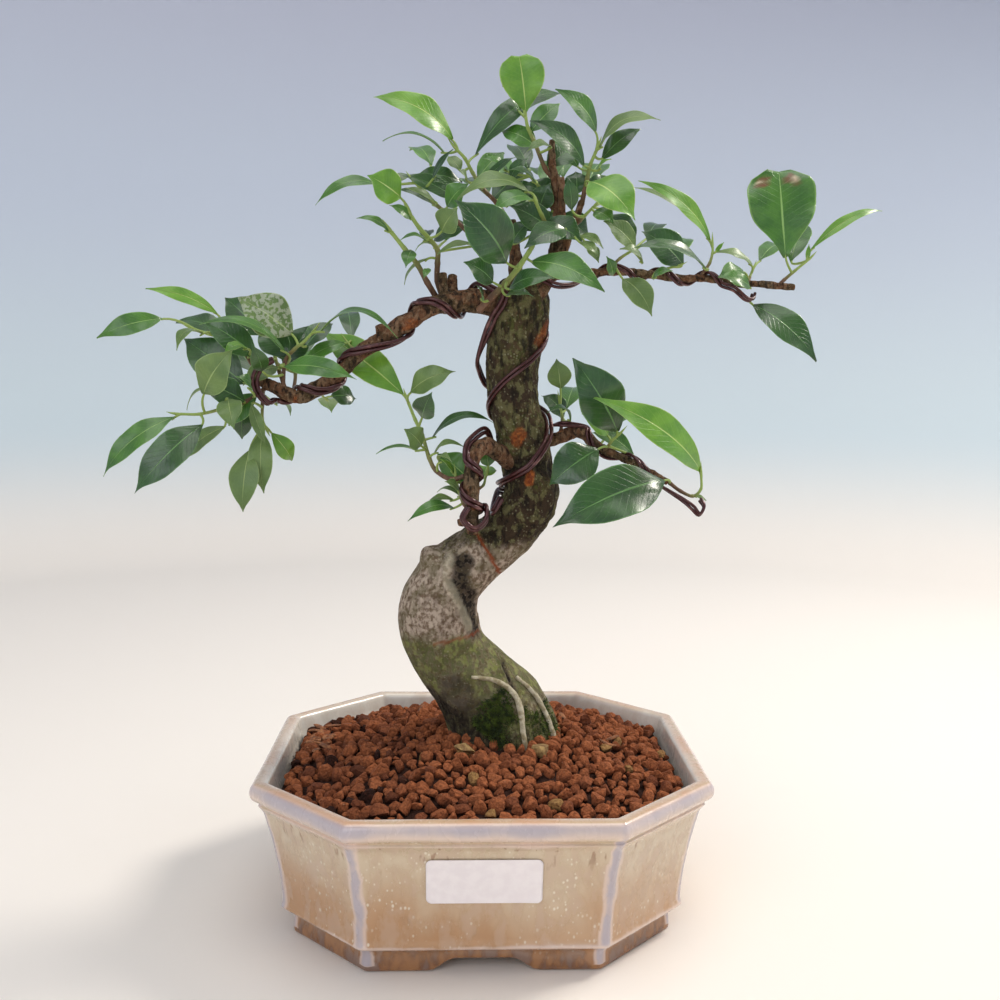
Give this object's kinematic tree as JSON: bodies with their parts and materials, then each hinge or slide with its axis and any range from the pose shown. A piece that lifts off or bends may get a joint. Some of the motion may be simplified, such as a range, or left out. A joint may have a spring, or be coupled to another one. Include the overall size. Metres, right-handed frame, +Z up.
{
  "type": "potted bonsai tree",
  "caption": "Small fig bonsai with a curved trunk, wired branches and glossy leaves, in an octagonal glazed pot of granular soil",
  "frame": {"origin": "bottom centre of the bounding box, on the plane that the pot stands on", "axes": "+Z up, -Y towards the front face of the pot with the label, +X to the right seen from the front"},
  "size_m": [0.3204, 0.168, 0.3441],
  "materials": {
    "glaze": "gloss glaze, tan with grey rim and brown foot",
    "soil": "fired clay granules, matte",
    "label": "plain pale sticker",
    "mesh": "matte",
    "bark": "mottled grey-brown bark",
    "wire": "dark brown anodised",
    "moss": "soft moss",
    "stone": "pale pebble",
    "aerial_root": "pale root",
    "leaf": "waxy green leaf on a brown twig"
  },
  "bodies": {
    "root": {"aerial_root_front": "aerial_root", "aerial_root_right": "aerial_root", "apex_back_left_shoot": "leaf", "apex_back_shoot": "leaf", "apex_branch": "bark", "apex_centre_shoot": "leaf", "apex_front_shoot": "leaf", "apex_inner_shoot": "leaf", "apex_left_branch": "bark", "apex_left_shoot": "leaf", "apex_low_shoot": "leaf", "apex_right_branch": "bark", "apex_right_shoot": "leaf", "apex_rising_shoot": "leaf", "drain_mesh_left": "mesh", "drain_mesh_right": "mesh", "hanging_shoot": "leaf", "label": "label", "left_back_shoot": "leaf", "left_branch": "bark", "left_crown_shoot": "leaf", "left_far_shoot": "leaf", "left_hanging_shoot": "leaf", "left_inner_shoot": "leaf", "left_leafy_twig": "leaf", "left_low_shoot": "leaf", "left_mid_shoot": "leaf", "left_rising_twig": "leaf", "left_top_shoot": "leaf", "low_left_branch": "bark", "low_left_inner_shoot": "leaf", "low_left_side_shoot": "leaf", "low_right_branch": "bark", "low_right_end_shoot": "leaf", "low_right_inner_shoot": "leaf", "low_right_shoot": "leaf", "moss_left": "moss", "moss_right": "moss", "pot": "glaze", "right_branch": "bark", "right_bright_shoot": "leaf", "right_crown_shoot": "leaf", "right_end_shoot": "leaf", "right_low_shoot": "leaf", "right_mid_shoot": "leaf", "right_near_shoot": "leaf", "right_upper_shoot": "leaf", "soil": "soil", "stone_front": "stone", "stone_left": "stone", "trunk": "bark", "wire_left_a": "wire", "wire_left_b": "wire", "wire_low_left_a": "wire", "wire_low_left_b": "wire", "wire_low_right_a": "wire", "wire_low_right_b": "wire", "wire_right_a": "wire", "wire_right_b": "wire"}
  },
  "joints": []
}
